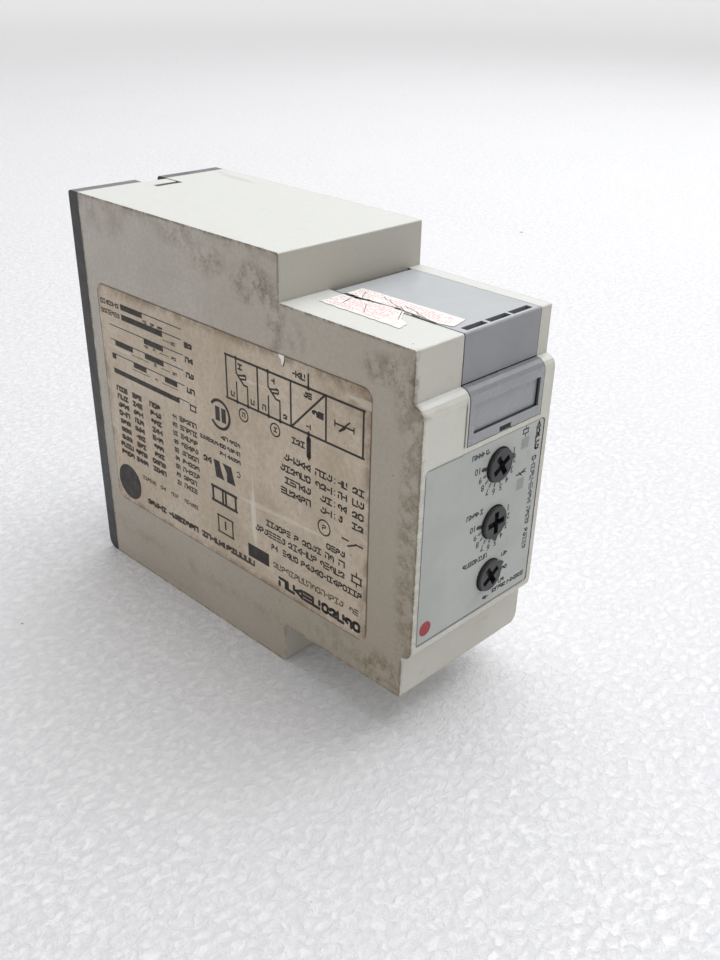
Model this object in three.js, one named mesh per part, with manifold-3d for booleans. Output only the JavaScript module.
// Plug-in timer module for a DIN rail socket, built as separate pieces in millimetres.
// +Z up, +Y towards the plug, -Y towards the knobs, +X to the right as seen from the front.
// Origin: middle of the footprint, on the surface that the module stands on.
import * as THREE from "three";
import { mergeVertices } from "three/addons/utils/BufferGeometryUtils.js";
import Module from "manifold-3d";

const wasm = await Module();
wasm.setup();

// ---------- driving dimensions ----------
const BACK_WIDTH = 36; // at the base plate
const NOSE_WIDTH = 33.5; // at the front face: the moulding tapers
const HEIGHT = 82;
const DEPTH = 94; // nose face to the base plate's rear face
const KNOB_PROUD = 0.6; // knob face in front of the nose face
const PLUG_LENGTH = 14; // key post beyond the base plate

const TOTAL_DEPTH = KNOB_PROUD + DEPTH + PLUG_LENGTH;
const NOSE_Y = -TOTAL_DEPTH / 2 + KNOB_PROUD;
const FACE_Y = NOSE_Y + 2.1; // the face above and below the nose
const STEP_Y = FACE_Y + 30; // where the tall rear part begins
const BACK_Y = NOSE_Y + DEPTH;
const FLANGE = 3.2; // thickness of the base plate's rim
const RIM_Y = BACK_Y - FLANGE; // where the housing ends

const FRONT_LOW_Z = 8.9;
const FRONT_HIGH_Z = 73.8;
const NOSE_LOW_Z = 17.8;
const NOSE_HIGH_Z = 65.2;
const NOSE_ROUND = 2.05; // its upper and lower edges
const NOSE_CORNER = 1.2; // its lower right corner
const MIDDLE_Z = HEIGHT / 2;

const WALL = 1.8;
const NOSE_WALL = 2.4;
const FAR_EDGE_RADIUS = 2.5; // the lower right edge of the front part
const TOUCH = 0.03; // air left between pieces that rest on each other
const THROUGH = 1; // how far a cutting solid runs past the face that it opens
const EDGE = 0.4; // rounding of the small outer edges

// front panel, in the nose
const PANEL = { x: 15.5, low: 20.35, high: 54.15, thick: 0.7, sunk: 0.1, radius: 0.8 };
const POCKET_DEPTH = PANEL.sunk + PANEL.thick + 0.1;
const DIAL_X = 3.45;
// angles of the pointer and of the screwdriver cross, from +X towards +Z
const DIALS = [
  { name: "time_2", z: 49.05, pointer: 14, cross: 32 },
  { name: "time_1", z: 37.85, pointer: -84, cross: 2 },
  { name: "function", z: 26.8, pointer: 23, cross: 33 },
];
const KNOB = { r: 3.1, head: 0.75, neck: 2.9, shaft: 1.5, bevel: 0.2, nib: 3.95, nibHalf: 1.4 };
const KNOB_HOLE = 3.3;
const CROSS = { length: 4.4, width: 1.15, depth: 1.1 };

// cover and door over the range switches
const COVER = { left: -5.6, right: 13.85, thick: 1.6, front: 0.8, length: 28.8, low: 65.42 };
const SEAM = { left: 0.3, right: 0.12 }; // air beside the cover and the door
const SLOTS = [-4.3, 1.65, 7.45]; // left ends of the vent slots
const SLOT = { width: 5.2, near: 0.85, far: 2.25 };
const DOOR = { low: 55.4, thick: 1.4 };
const HINGE = { y: NOSE_Y + 1.9, z: 63.3, r: 1.2, pin: 0.6, bore: 0.85, reach: 0.9 };
const WINDOW = { left: -4.4, right: 12.9, low: 57.2, high: 62.4, depth: 0.5 };
const NOTCH = { left: 2.5, right: 5.7, high: 56.35 };

// boards
const BOARD = 1.6;
const CONTROL_Y = FACE_Y + 9; // front face of the control board
const POWER_X = 10.5; // inner face of the power board
const BASE_BOARD_Y = RIM_Y - 10;

// plug
const PIN = { count: 11, circle: 19.05, r: 1.18, length: 11, hole: 1.5, collar: 1.9, tail: 0.55 };
const POST = { r: 3.95, key: 1.1, keyHalf: 0.8, bevel: 1.2 };
const SPIGOT = { play: 0.3, thick: 1.5, length: 3, boss: 14, bossLength: 2 };
// distances along Y are measured from the housing's rear, those of the arm and the hook also in from the top
const LATCH = {
  half: 3.05, near: 5.65, far: 3.65, channel: 0.15, notch: 1.8,
  arm: { half: 2.7, length: 6.3, top: 2.1, under: 3.5 },
  hook: { near: 5.35, far: 3.95, top: 1.4 },
};

// ---------- materials ----------
const plastic = (color, roughness) => new THREE.MeshStandardMaterial({ color, roughness, metalness: 0 });
const metal = (color, roughness) => new THREE.MeshStandardMaterial({ color, roughness, metalness: 1 });
const LOOK = {
  housing: plastic(0xd4d5cc, 0.55),
  base: plastic(0x3b3b3d, 0.6),
  cover: plastic(0x8e9196, 0.45),
  panel: plastic(0xa9aeab, 0.4),
  knob: plastic(0x3a3b3f, 0.5),
  white: plastic(0xe6e3d8, 0.5),
  blue: plastic(0x2b5f9e, 0.45),
  red: plastic(0xb23227, 0.4),
  black: plastic(0x1f2022, 0.5),
  board: plastic(0x1f6b3a, 0.5),
  paper: plastic(0xb9ac98, 0.7),
  clear: plastic(0xdfe8e6, 0.1),
  green: plastic(0x4fae4c, 0.3),
  amber: plastic(0xe0a52c, 0.3),
  copper: metal(0xb66a3c, 0.4),
  steel: metal(0x9a9c9f, 0.35),
  tin: metal(0xc9c8c2, 0.3),
};

// ---------- solids ----------
const solid = (geometry) => {
  const g = geometry.index ? geometry.toNonIndexed() : geometry.clone();
  const bare = new THREE.BufferGeometry().setAttribute("position", g.getAttribute("position"));
  const merged = mergeVertices(bare, 1e-4);
  const triVerts = new Uint32Array(merged.index.array);
  return new wasm.Manifold(
    new wasm.Mesh({ numProp: 3, vertProperties: merged.attributes.position.array, triVerts }),
  );
};
const geometryOf = (manifold) => {
  const mesh = manifold.getMesh();
  const g = new THREE.BufferGeometry();
  g.setAttribute("position", new THREE.BufferAttribute(mesh.vertProperties, 3));
  g.setIndex(new THREE.BufferAttribute(mesh.triVerts, 1));
  g.computeVertexNormals();
  return g;
};
const joined = (...all) => all.reduce((a, b) => a.add(b));
const cut = (body, ...tools) => tools.reduce((a, b) => a.subtract(b), body);

const box = (x0, x1, y0, y1, z0, z1) =>
  solid(
    new THREE.BoxGeometry(x1 - x0, y1 - y0, z1 - z0).translate((x0 + x1) / 2, (y0 + y1) / 2, (z0 + z1) / 2),
  );

// Outline points are [u, v] or [u, v, radius]; a radius rounds that corner.
const outline = (points, steps = 5) => {
  const out = [];
  points.forEach(([u, v, r], i) => {
    const here = new THREE.Vector2(u, v);
    if (!r) return out.push(here);
    const before = new THREE.Vector2(...points.at(i - 1).slice(0, 2)).sub(here).normalize();
    const after = new THREE.Vector2(...points[(i + 1) % points.length].slice(0, 2)).sub(here).normalize();
    const half = Math.acos(THREE.MathUtils.clamp(before.dot(after), -1, 1)) / 2;
    const centre = before.clone().add(after).normalize().multiplyScalar(r / Math.sin(half)).add(here);
    const from = before.clone().multiplyScalar(r / Math.tan(half)).add(here).sub(centre);
    const to = after.clone().multiplyScalar(r / Math.tan(half)).add(here).sub(centre);
    const turn = Math.atan2(from.x * to.y - from.y * to.x, from.dot(to));
    for (let k = 0; k <= steps; k++) {
      out.push(from.clone().rotateAround(new THREE.Vector2(), (turn * k) / steps).add(centre));
    }
  });
  return new THREE.Shape(out);
};
const extruded = (shape, depth, basis) =>
  solid(new THREE.ExtrudeGeometry(shape, { depth, bevelEnabled: false, steps: 1 }).applyMatrix4(basis));
const X = new THREE.Vector3(1, 0, 0);
const Y = new THREE.Vector3(0, 1, 0);
const Z = new THREE.Vector3(0, 0, 1);
// An outline in (y, z) pulled from x0 to x1, or in (x, z) pulled from y0 to y1.
const prismX = (points, x0, x1, steps) =>
  extruded(outline(points, steps), x1 - x0, new THREE.Matrix4().makeBasis(Y, Z, X).setPosition(x0, 0, 0));
const prismY = (points, y0, y1, steps) =>
  extruded(
    outline(points, steps),
    y1 - y0,
    new THREE.Matrix4().makeBasis(X, Z, Y.clone().negate()).setPosition(0, y1, 0),
  );
const rectangle = (u0, u1, v0, v1, r = 0) => [[u0, v0, r], [u1, v0, r], [u1, v1, r], [u0, v1, r]];

const cylinderX = (r, x0, x1, y, z, sides = 24) =>
  solid(
    new THREE.CylinderGeometry(r, r, x1 - x0, sides).rotateZ(Math.PI / 2).translate((x0 + x1) / 2, y, z),
  );
const cylinderY = (r, y0, y1, x, z, sides = 24) =>
  solid(new THREE.CylinderGeometry(r, r, y1 - y0, sides).translate(x, (y0 + y1) / 2, z));
const cylinderZ = (r, z0, z1, x, y, sides = 24) =>
  solid(
    new THREE.CylinderGeometry(r, r, z1 - z0, sides).rotateX(Math.PI / 2).translate(x, y, (z0 + z1) / 2),
  );
// A turned piece about the Y axis; the profile is [radius, y] and starts and ends on the axis.
const turnedY = (profile, x, z, sides) =>
  solid(
    new THREE.LatheGeometry(profile.map(([r, y]) => new THREE.Vector2(r, y)), sides).translate(x, 0, z),
  );

// The moulding's taper: x shrinks from the back to the nose.
const halfWidth = (y) =>
  (NOSE_WIDTH + ((BACK_WIDTH - NOSE_WIDTH) * (y - NOSE_Y)) / DEPTH) / 2;
const tapered = (manifold) =>
  manifold.warp((v) => {
    v[0] *= halfWidth(v[1]) / (BACK_WIDTH / 2);
  });

// ---------- the assembly ----------
const part = new THREE.Group();
const place = (name, manifold, material) => {
  const mesh = new THREE.Mesh(geometryOf(manifold), material);
  mesh.name = name;
  part.add(mesh);
};

function housing() {
  const half = BACK_WIDTH / 2;
  const outer = [
    [RIM_Y, 0], [RIM_Y, HEIGHT], [STEP_Y, HEIGHT, EDGE], [STEP_Y, FRONT_HIGH_Z], [FACE_Y, FRONT_HIGH_Z, EDGE],
    [FACE_Y, NOSE_HIGH_Z], [NOSE_Y, NOSE_HIGH_Z, NOSE_ROUND], [NOSE_Y, NOSE_LOW_Z, NOSE_ROUND],
    [FACE_Y, NOSE_LOW_Z],
    [FACE_Y, FRONT_LOW_Z, EDGE], [STEP_Y, FRONT_LOW_Z], [STEP_Y, 0, 3 * EDGE],
  ].reverse();
  const inner = [
    [RIM_Y + THROUGH, WALL], [RIM_Y + THROUGH, HEIGHT - WALL], [STEP_Y + WALL, HEIGHT - WALL],
    [STEP_Y + WALL, FRONT_HIGH_Z - WALL], [FACE_Y + WALL, FRONT_HIGH_Z - WALL],
    [FACE_Y + WALL, NOSE_HIGH_Z - WALL], [NOSE_Y + NOSE_WALL, NOSE_HIGH_Z - WALL],
    [NOSE_Y + NOSE_WALL, NOSE_LOW_Z + NOSE_WALL], [FACE_Y + WALL, NOSE_LOW_Z + NOSE_WALL],
    [FACE_Y + WALL, FRONT_LOW_Z + WALL], [STEP_Y + WALL, FRONT_LOW_Z + WALL], [STEP_Y + WALL, WALL],
  ].reverse();
  // what rounding a lower right edge takes away, as an outline in (x, z)
  const offEdge = (low, r) => {
    const steps = 8;
    const arc = Array.from({ length: steps + 1 }, (_, k) => {
      const turn = (k / steps) * (Math.PI / 2);
      return [half - r + r * Math.cos(turn), low + r - r * Math.sin(turn)];
    });
    const out = half + THROUGH;
    return [[out, low + r], ...arc, [half - r, low - THROUGH], [out, low - THROUGH]];
  };
  let body = tapered(
    cut(
      prismX(outer, -half, half, 4),
      prismX(inner, WALL - half, half - WALL),
      prismY(offEdge(FRONT_LOW_Z, FAR_EDGE_RADIUS), FACE_Y - TOUCH, STEP_Y - TOUCH),
      prismY(offEdge(NOSE_LOW_Z, NOSE_CORNER), NOSE_Y - THROUGH, FACE_Y - TOUCH),
    ),
  );

  // cheeks that carry the door's pins, and rails that the vent cover rests on
  const cheek = (x0, x1) => box(x0, x1, NOSE_Y + 1.2, FACE_Y + 2.4, HINGE.z - 1.8, HINGE.z + 1);
  const railTop = FRONT_HIGH_Z - COVER.thick - TOUCH;
  const railThick = 1.5;
  const rail = (x0, x1, y0, y1) => box(x0, x1, y0, y1, railTop - railThick, railTop + 0.1);
  const ledge = 1.2;
  const railStart = FACE_Y + 3;
  const coverEnd = FACE_Y + COVER.length - 0.05;
  body = joined(
    body,
    cheek(COVER.left - 2, COVER.left),
    cheek(COVER.right, halfWidth(FACE_Y) - 1),
    rail(COVER.left - ledge, COVER.left + ledge, railStart, coverEnd),
    rail(COVER.right - ledge, COVER.right + ledge, railStart, coverEnd),
    rail(COVER.left, COVER.right, coverEnd - ledge, coverEnd),
  );

  // the L-shaped opening for cover and door
  const openLeft = COVER.left - SEAM.left;
  const openRight = COVER.right + SEAM.right;
  const above = FRONT_HIGH_Z + THROUGH;
  const below = railTop - railThick - THROUGH;
  const borePast = HINGE.reach + 0.5;
  body = cut(
    body,
    box(openLeft, openRight, NOSE_Y - THROUGH, railStart, DOOR.low - 0.2, above),
    box(openLeft, openRight, FACE_Y + 2, STEP_Y - TOUCH, railTop, above),
    box(COVER.left + ledge, COVER.right - ledge, FACE_Y + 2, coverEnd - ledge, below, above),
    box(openLeft, openRight, coverEnd, STEP_Y - TOUCH, below, above),
    cylinderX(HINGE.bore, COVER.left - borePast, COVER.right + borePast, HINGE.y, HINGE.z, 16),
  );

  // pocket for the front panel, with holes for knobs and light guides
  const edgeGap = 0.16;
  const pocket = rectangle(
    -PANEL.x - edgeGap, PANEL.x + edgeGap, PANEL.low - edgeGap, PANEL.high + edgeGap, PANEL.radius,
  );
  body = cut(body, prismY(pocket, NOSE_Y - THROUGH, NOSE_Y + POCKET_DEPTH, 3));
  const wallEnd = NOSE_Y + NOSE_WALL + THROUGH;
  for (const dial of DIALS) {
    body = cut(body, cylinderY(KNOB_HOLE, NOSE_Y, wallEnd, DIAL_X, dial.z));
  }
  const side = LIGHT_GUIDE.half + 0.2;
  for (const { x, z } of LAMPS) {
    body = cut(body, box(x - side, x + side, NOSE_Y, wallEnd, z - side, z + side));
  }

  // latch holes for the base plate, each with a shallow channel for a screwdriver
  for (const [low, high, channelLow, channelHigh] of [
    [HEIGHT - WALL - THROUGH, HEIGHT + THROUGH, HEIGHT - LATCH.channel, HEIGHT + THROUGH],
    [-THROUGH, WALL + THROUGH, -THROUGH, LATCH.channel],
  ]) {
    const far = RIM_Y - LATCH.far;
    body = cut(
      body,
      box(-LATCH.half, LATCH.half, RIM_Y - LATCH.near, far, low, high),
      box(-LATCH.half, LATCH.half, far - TOUCH, RIM_Y + THROUGH, channelLow, channelHigh),
    );
  }
  return body;
}

function basePlate() {
  const half = BACK_WIDTH / 2;
  const rim = [
    [RIM_Y + TOUCH, 0], [BACK_Y, 0, 2.2], [BACK_Y, HEIGHT, 2 * EDGE], [RIM_Y + TOUCH, HEIGHT],
  ];
  let plate = tapered(prismX(rim, -half, half));

  // the spigot that fits inside the housing, and the boss behind the pins
  const inX = half - WALL - SPIGOT.play;
  const inZ = WALL + SPIGOT.play;
  const spigot = (margin, y0) =>
    box(-inX + margin, inX - margin, y0, RIM_Y + THROUGH, inZ + margin, HEIGHT - inZ - margin);
  const hollow = spigot(SPIGOT.thick, RIM_Y - SPIGOT.length - THROUGH);
  plate = joined(plate, cut(spigot(0, RIM_Y - SPIGOT.length), hollow));
  plate = joined(plate, cylinderY(SPIGOT.boss, RIM_Y - SPIGOT.bossLength, RIM_Y + THROUGH, 0, MIDDLE_Z, 36));

  // a notch and a latch at each end
  for (const side of [1, -1]) {
    const z = (distance) => MIDDLE_Z + side * (MIDDLE_Z - distance); // distance in from the outer face
    const span = (a, b) => [Math.min(z(a), z(b)), Math.max(z(a), z(b))];
    const { arm, hook, half: wide } = LATCH;
    const notch = box(-wide, wide, RIM_Y - TOUCH, BACK_Y + THROUGH, ...span(-THROUGH, LATCH.notch));
    plate = joined(
      cut(plate, notch),
      box(-arm.half, arm.half, RIM_Y - arm.length, RIM_Y + 0.5, ...span(arm.top, arm.under)),
      box(-arm.half, arm.half, RIM_Y - hook.near, RIM_Y - hook.far, ...span(hook.top, arm.under - 1)),
    );
  }

  // the post that centres the plug, with its key
  const postEnd = BACK_Y + PLUG_LENGTH;
  const keyTop = MIDDLE_Z + POST.r + POST.key;
  const key = box(-POST.keyHalf, POST.keyHalf, BACK_Y - 1, postEnd - 1, MIDDLE_Z, keyTop);
  const post = turnedY(
    [[0, BACK_Y - 1], [POST.r, BACK_Y - 1], [POST.r, postEnd - POST.bevel],
      [POST.r - POST.bevel, postEnd], [0, postEnd]],
    0, MIDDLE_Z, 24,
  );
  plate = joined(plate, post, key);
  const holeStart = RIM_Y - SPIGOT.bossLength - THROUGH;
  return pinPlaces().reduce(
    (body, { x, z }) => cut(body, cylinderY(PIN.hole, holeStart, BACK_Y + THROUGH, x, z, 12)),
    plate,
  );
}

// The eleven pins stand on a circle, with the key between the first and the last.
function pinPlaces() {
  return Array.from({ length: PIN.count }, (_, i) => {
    const angle = Math.PI / 2 + ((i + 0.5) * 2 * Math.PI) / PIN.count;
    return { x: (PIN.circle / 2) * Math.cos(angle), z: MIDDLE_Z + (PIN.circle / 2) * Math.sin(angle) };
  });
}

function contactPin({ x, z }) {
  const collarEnd = RIM_Y - SPIGOT.bossLength - TOUCH;
  const collarStart = collarEnd - 0.8;
  const tail = BASE_BOARD_Y - 1.2;
  const tip = BACK_Y + PIN.length;
  return turnedY(
    [[0, tail], [PIN.tail, tail], [PIN.tail, collarStart], [PIN.collar, collarStart],
      [PIN.collar, collarEnd], [PIN.r, collarEnd], [PIN.r, tip - 1],
      [PIN.r * 0.8, tip - 0.35], [PIN.r * 0.4, tip], [0, tip]],
    x, z, 12,
  );
}

function ventCover() {
  const { left, right, thick, front, length, low } = COVER;
  const top = FRONT_HIGH_Z;
  const profile = [
    [FACE_Y, low], [FACE_Y + front, low], [FACE_Y + front, top - thick],
    [FACE_Y + length, top - thick], [FACE_Y + length, top], [FACE_Y, top, EDGE],
  ];
  let cover = prismX(profile, left, right, 3);
  const rib = { in: 1.5, thick: 1, low: top - 5 };
  for (const x of [left + rib.in, right - rib.in - rib.thick]) {
    cover = joined(
      cover,
      box(x, x + rib.thick, FACE_Y + 3, FACE_Y + length - 2, rib.low, top - thick / 2),
    );
  }
  const under = top - thick - THROUGH;
  for (const x of SLOTS) {
    cover = cut(
      cover,
      box(x, x + SLOT.width, FACE_Y + SLOT.near, FACE_Y + SLOT.far, under, top + THROUGH),
    );
  }
  return cover;
}

function switchDoor() {
  const inside = NOSE_Y + DOOR.thick;
  const plate = [
    [NOSE_Y, DOOR.low], [inside, DOOR.low], [inside, HINGE.z - 1.05], [HINGE.y, HINGE.z],
    [FACE_Y, NOSE_HIGH_Z], [NOSE_Y, NOSE_HIGH_Z, NOSE_ROUND],
  ];
  let door = joined(
    prismX(plate, COVER.left, COVER.right, 4),
    cylinderX(HINGE.r, COVER.left, COVER.right, HINGE.y, HINGE.z),
    cylinderX(HINGE.pin, COVER.left - HINGE.reach, COVER.right + HINGE.reach, HINGE.y, HINGE.z, 16),
  );
  const front = NOSE_Y - THROUGH;
  const window = box(WINDOW.left, WINDOW.right, front, NOSE_Y + WINDOW.depth, WINDOW.low, WINDOW.high);
  const notch = box(NOTCH.left, NOTCH.right, front, inside + THROUGH, DOOR.low - THROUGH, NOTCH.high);
  return cut(door, window, notch);
}

function frontPanel() {
  const y0 = NOSE_Y + PANEL.sunk;
  let panel = prismY(
    rectangle(-PANEL.x, PANEL.x, PANEL.low, PANEL.high, PANEL.radius), y0, y0 + PANEL.thick, 3,
  );
  for (const dial of DIALS) {
    panel = cut(panel, cylinderY(KNOB_HOLE, y0 - THROUGH, y0 + PANEL.thick + THROUGH, DIAL_X, dial.z));
  }
  return panel;
}

// A knob with a cross slot and a pointer on its rim; its shaft turns the rotor behind it.
function knob({ z, pointer, cross }) {
  const face = NOSE_Y - KNOB_PROUD;
  const under = face + KNOB.head;
  const neckEnd = NOSE_Y + NOSE_WALL + 1;
  const end = ROTOR_Y + 1;
  const turned = turnedY(
    [[0, face], [KNOB.r - KNOB.bevel, face], [KNOB.r, face + KNOB.bevel], [KNOB.r, under],
      [KNOB.neck, under], [KNOB.neck, neckEnd], [KNOB.shaft, neckEnd], [KNOB.shaft, end], [0, end]],
    0, 0, 32,
  );
  const root = 2;
  const nib = prismY(
    [[root, -KNOB.nibHalf], [KNOB.nib, 0], [root, KNOB.nibHalf]], face + KNOB.bevel / 2, NOSE_Y,
  );
  const arm = (w, l) => box(-l / 2, l / 2, face - THROUGH, face + CROSS.depth, -w / 2, w / 2);
  const slots = joined(arm(CROSS.width, CROSS.length), arm(CROSS.length, CROSS.width));
  return cut(joined(turned, nib.rotate([0, -pointer, 0])), slots.rotate([0, -cross, 0]))
    .translate([DIAL_X, 0, z]);
}
const ROTOR_Y = CONTROL_Y - 4.4;
const ROTOR = { r: 2.6, thick: 1.3, play: 0.3 };
const DIAL_BODY = { half: 3.4, foot: { half: 0.5, thick: 1, reach: 0.9, out: 2.2 } };

function rotor({ z }) {
  const rear = ROTOR_Y + ROTOR.thick;
  return cut(
    cylinderY(ROTOR.r, ROTOR_Y, rear, DIAL_X, z, 20),
    cylinderY(KNOB.shaft + ROTOR.play, ROTOR_Y - THROUGH, rear + THROUGH, DIAL_X, z, 16),
  );
}

function dialBody({ z }) {
  const { half, foot } = DIAL_BODY;
  const front = ROTOR_Y - ROTOR.play;
  const back = CONTROL_Y - TOUCH;
  const edge = z + half;
  const footAt = (x) =>
    box(x - foot.half, x + foot.half, back - foot.thick, back, edge - foot.half, edge + foot.reach);
  const body = box(DIAL_X - half, DIAL_X + half, front, back, z - half, z + half);
  return cut(
    joined(body, footAt(DIAL_X - foot.out), footAt(DIAL_X + foot.out)),
    cylinderY(
      ROTOR.r + ROTOR.play, front - THROUGH, ROTOR_Y + ROTOR.thick + ROTOR.play, DIAL_X, z, 20,
    ),
  );
}

const LAMPS = [
  { name: "supply", x: 10.35, z: 51.0, look: LOOK.green },
  { name: "output", x: 10.3, z: 42.7, look: LOOK.amber },
];
const LAMP = { r: 1.4, flange: 1.7, dome: 1.2 };
const LIGHT_GUIDE = { half: 1.3, collar: 1.9, collarThick: 1 };
const lampTop = CONTROL_Y - 4.2;
function lightGuide({ x, z }) {
  const square = (half, y0, y1) => box(x - half, x + half, y0, y1, z - half, z + half);
  const behindWall = NOSE_Y + NOSE_WALL + TOUCH;
  return joined(
    square(LIGHT_GUIDE.half, NOSE_Y + POCKET_DEPTH + TOUCH, lampTop - 0.4),
    square(LIGHT_GUIDE.collar, behindWall, behindWall + LIGHT_GUIDE.collarThick),
  );
}
function lampBody({ x, z }) {
  const { r, flange, dome } = LAMP;
  const foot = CONTROL_Y - TOUCH;
  return turnedY(
    [[0, lampTop], [0.6 * r, lampTop + dome / 4], [r, lampTop + dome], [r, foot - 1],
      [flange, foot - 1], [flange, foot], [0, foot]],
    x, z, 16,
  );
}

// range switches: a block of six sliders behind the door
const SWITCH = { count: 6, pitch: 2.54, x: 4.1, low: 56.3, high: 62.3, front: CONTROL_Y - 4.5 };
const SLIDER = { w: 1.1, h: 1.4, travel: 1.6, play: 0.2, proud: 0.9, deep: 1.2 };
const sliderX = (i) => SWITCH.x + (i - (SWITCH.count - 1) / 2) * SWITCH.pitch;
const sliderLow = (SWITCH.low + SWITCH.high - SLIDER.h - SLIDER.travel) / 2;

function switchBlock() {
  const half = (SWITCH.count * SWITCH.pitch + 1) / 2;
  const { w, h, play, travel, deep } = SLIDER;
  const side = w / 2 + play;
  const low = sliderLow - play;
  const high = sliderLow + h + travel + play;
  let block = box(SWITCH.x - half, SWITCH.x + half, SWITCH.front, CONTROL_Y - TOUCH, SWITCH.low, SWITCH.high);
  for (let i = 0; i < SWITCH.count; i++) {
    const x = sliderX(i);
    block = cut(
      block,
      box(x - side, x + side, SWITCH.front - THROUGH, SWITCH.front + deep + play, low, high),
    );
  }
  return block;
}
const slider = (i) =>
  box(sliderX(i) - SLIDER.w / 2, sliderX(i) + SLIDER.w / 2, SWITCH.front - SLIDER.proud,
    SWITCH.front + SLIDER.deep, sliderLow, sliderLow + SLIDER.h);

// boards
const BOARD_LOW_Z = FRONT_LOW_Z + 3.5;
const controlBoard = () =>
  box(-14.2, 14.2, CONTROL_Y, CONTROL_Y + BOARD, BOARD_LOW_Z, FRONT_HIGH_Z - 5.6);
function powerBoard() {
  const front = CONTROL_Y + BOARD + 1;
  const shoulder = STEP_Y + 3;
  const back = BASE_BOARD_Y - 0.5;
  const margin = 4.5;
  const top = FRONT_HIGH_Z - 7.5;
  const outlineYZ = [
    [front, BOARD_LOW_Z], [shoulder, BOARD_LOW_Z], [shoulder, margin], [back, margin],
    [back, HEIGHT - margin], [shoulder, HEIGHT - margin], [shoulder, top], [front, top],
  ];
  return prismX(outlineYZ, POWER_X, POWER_X + BOARD);
}
function baseBoard() {
  const half = { x: 13.5, z: 20 };
  const back = BASE_BOARD_Y + BOARD;
  return pinPlaces().reduce(
    (body, { x, z }) =>
      cut(body, cylinderY(PIN.tail + 0.25, BASE_BOARD_Y - THROUGH, back + THROUGH, x, z, 8)),
    box(-half.x, half.x, BASE_BOARD_Y, back, MIDDLE_Z - half.z, MIDDLE_Z + half.z),
  );
}
function boardConnector() {
  const front = CONTROL_Y + BOARD;
  return box(POWER_X - 2.6, POWER_X - TOUCH, front + TOUCH, front + 3.6, 30, 50.3);
}

// A board relay lies on the power board: length along Z, width along Y, height towards -X.
// Heights are measured up from its floor, lengths from its lower end.
const RELAY = { length: 29, width: 12.7, base: 2, height: 15.7, skin: 0.8, y: BASE_BOARD_Y - 18.5 };
const COIL = { r: 4.2, flange: 4.9, bore: 2, core: 1.6, up: 6.2, low: 3.6, high: 16 };
const YOKE = { half: 4.5, low: 1.2, thick: 1.3, under: 11.3, top: 12.3, high: 17.8 };
const ARMATURE = { half: 4, low: 18.2, thick: 0.9, foot: 2.4 };
const SPRING = { half: 1.5, low: 3.8, high: 4.4, end: 25 };
const CONTACT = { half: 2.2, top: 1.9, thick: 0.6, low: 21.4, high: 26.4, r: 1.2, z: 23.8 };
function relay(number, z0) {
  const floor = POWER_X - TOUCH - RELAY.base;
  const roof = POWER_X - RELAY.height;
  const up = (h) => floor - h;
  const y0 = RELAY.y;
  const y1 = y0 + RELAY.width;
  const midY = (y0 + y1) / 2;
  const z = (along) => z0 + along;
  // a block between two heights and two lengths, to both sides of the relay's middle
  const block = (high, low, half, from, to) =>
    box(up(high), up(low), midY - half, midY + half, z(from), z(to));
  const roundZ = (r, from, to, sides) => cylinderZ(r, z(from), z(to), up(COIL.up), midY, sides);
  const { skin } = RELAY;
  place(`relay_${number}_base`, box(floor, POWER_X - TOUCH, y0, y1, z0, z(RELAY.length)), LOOK.black);
  place(
    `relay_${number}_cover`,
    cut(
      box(roof, floor - TOUCH, y0, y1, z0, z(RELAY.length)),
      box(roof + skin, floor + THROUGH, y0 + skin, y1 - skin, z(skin), z(RELAY.length - skin)),
    ),
    LOOK.blue,
  );
  place(
    `relay_${number}_coil`,
    cut(
      joined(
        roundZ(COIL.r, COIL.low, COIL.high, 20),
        roundZ(COIL.flange, COIL.low - 0.7, COIL.low + 0.3, 20),
        roundZ(COIL.flange, COIL.high - 0.1, COIL.high + 0.9, 20),
      ),
      roundZ(COIL.bore, COIL.low - 1.6, COIL.high + 2, 12),
    ),
    LOOK.copper,
  );
  place(
    `relay_${number}_yoke`,
    joined(
      roundZ(COIL.core, YOKE.low + 0.6, YOKE.high - 0.2, 12),
      block(YOKE.top, YOKE.low, YOKE.half, YOKE.low, YOKE.low + YOKE.thick),
      block(YOKE.top, YOKE.under, YOKE.half, YOKE.low, YOKE.high),
    ),
    LOOK.steel,
  );
  place(
    `relay_${number}_armature`,
    joined(
      block(YOKE.top, ARMATURE.foot, ARMATURE.half, ARMATURE.low, ARMATURE.low + ARMATURE.thick),
      block(SPRING.high, SPRING.low, SPRING.half, ARMATURE.low + ARMATURE.thick - 0.1, SPRING.end),
      cylinderX(CONTACT.r, up(4), up(3), midY, z(CONTACT.z), 12),
    ),
    LOOK.steel,
  );
  const { half, top, thick, low, high } = CONTACT;
  place(
    `relay_${number}_contact`,
    joined(
      block(top, top - thick, half, low, high),
      block(top, TOUCH, half, high - thick, high),
      cylinderX(CONTACT.r, up(2.65), up(1.5), midY, z(CONTACT.z), 12),
    ),
    LOOK.tin,
  );
}

// Power supply pieces on the power board: each stands on its face, towards -X.
const ON_BOARD = POWER_X - TOUCH;
const supplyCapacitor = () => cylinderX(6.2, POWER_X - 20, ON_BOARD, -12, 60, 24);
const filmCapacitor = () => box(POWER_X - 14.5, ON_BOARD, -17, -8.5, 26, 44);
function varistor() {
  const disc = { r: 6, y: -2.6, thick: 4, up: 8.5, z: 18 };
  const legs = { high: 4, y: -1.8, thick: 2.4, half: 3.8 };
  return joined(
    cylinderY(disc.r, disc.y, disc.y + disc.thick, POWER_X - disc.up, disc.z, 20),
    box(POWER_X - legs.high, ON_BOARD, legs.y, legs.y + legs.thick, disc.z - legs.half, disc.z + legs.half),
  );
}
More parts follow.
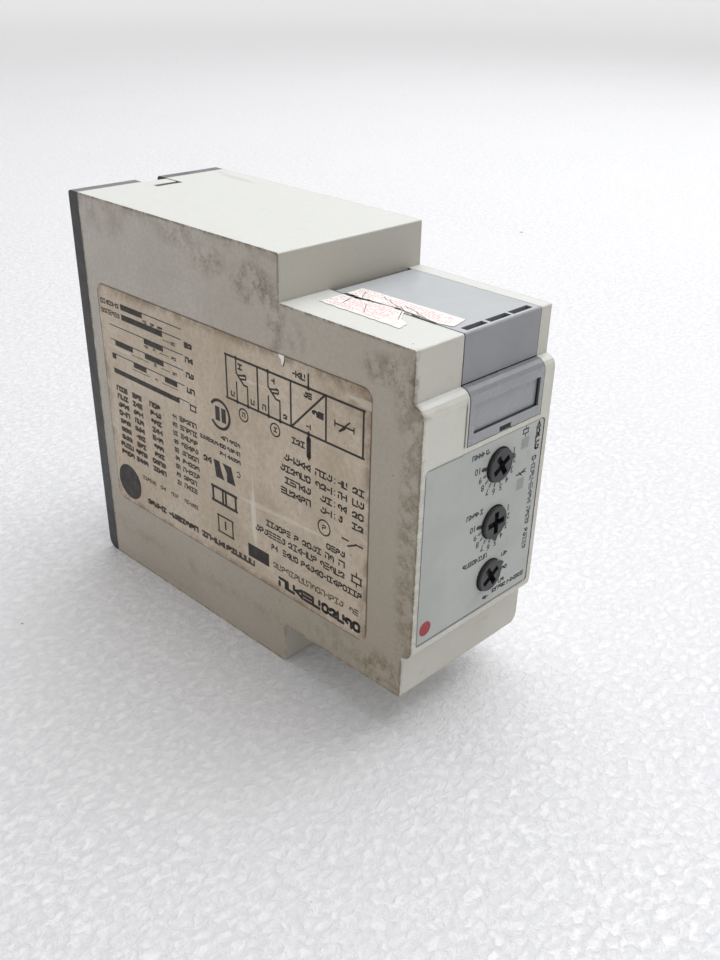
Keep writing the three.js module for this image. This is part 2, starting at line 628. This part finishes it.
// Two flanges with a winding between them, around a core.
function transformer() {
  const at = { y: -30, z: 41 };
  const slab = (high, low, halfY, halfZ) =>
    box(POWER_X - high, POWER_X - low, at.y - halfY, at.y + halfY, at.z - halfZ, at.z + halfZ);
  return joined(slab(3, TOUCH, 7, 9), slab(12, 2, 6, 5), slab(15, 11.5, 8, 8), slab(12.2, 2, 4, 8));
}
function microcontroller() {
  const front = CONTROL_Y + BOARD;
  return box(-9.5, -2, front + TOUCH, front + 2.3, 36, 46);
}

// The rating label is a thin sheet on the left side, following its taper.
const LABEL = { front: FACE_Y + 8.5, back: FACE_Y + 85.2, low: 16.2, high: 65.05, radius: 2, thick: 0.08 };
function ratingLabel() {
  const x = -BACK_WIDTH / 2 - TOUCH;
  const sheet = rectangle(LABEL.front, LABEL.back, LABEL.low, LABEL.high, LABEL.radius);
  return tapered(prismX(sheet, x - LABEL.thick, x, 5));
}

// A paper seal once bridged the seam beside the cover; it is torn in two. Outlines are [x, y from the face].
const SEAL = {
  thick: 0.08,
  left: [[-11.6, 26.4], [-11.6, 8.8], [-9.5, 9.3], [-8.5, 11.3], [-6, 12.6], [-6, 26]],
  right: [[-5.5, 26.5], [-1.3, 26.4], [-0.75, 4.1], [-4.7, 3.2], [-5.5, 5.6]],
};
function seal(points) {
  const flat = outline(points.map(([x, y]) => [x, FACE_Y + y]));
  return extruded(flat, SEAL.thick, new THREE.Matrix4().setPosition(0, 0, FRONT_HIGH_Z + TOUCH));
}

place("housing", housing(), LOOK.housing);
place("base_plate", basePlate(), LOOK.base);
pinPlaces().forEach((at, i) => place(`contact_pin_${i + 1}`, contactPin(at), LOOK.tin));
place("vent_cover", ventCover(), LOOK.cover);
place("switch_door", switchDoor(), LOOK.cover);
place("front_panel", frontPanel(), LOOK.panel);
for (const dial of DIALS) {
  place(`${dial.name}_knob`, knob(dial), LOOK.knob);
  place(`${dial.name}_rotor`, rotor(dial), LOOK.white);
  place(`${dial.name}_dial_body`, dialBody(dial), LOOK.blue);
}
for (const lamp of LAMPS) {
  place(`${lamp.name}_lamp`, lampBody(lamp), lamp.look);
  place(`${lamp.name}_light_guide`, lightGuide(lamp), LOOK.clear);
}
place("range_switch_block", switchBlock(), LOOK.red);
for (let i = 0; i < SWITCH.count; i++) {
  place(`range_slider_${i + 1}`, slider(i), LOOK.white);
}
place("control_board", controlBoard(), LOOK.board);
place("power_board", powerBoard(), LOOK.board);
place("base_board", baseBoard(), LOOK.board);
place("board_connector", boardConnector(), LOOK.black);
relay(1, 8);
relay(2, 44);
place("supply_capacitor", supplyCapacitor(), LOOK.black);
place("film_capacitor", filmCapacitor(), LOOK.amber);
place("varistor", varistor(), LOOK.blue);
place("transformer", transformer(), LOOK.steel);
place("microcontroller", microcontroller(), LOOK.black);
place("rating_label", ratingLabel(), LOOK.paper);
place("seal_left", seal(SEAL.left), LOOK.white);
place("seal_right", seal(SEAL.right), LOOK.white);

export default part;
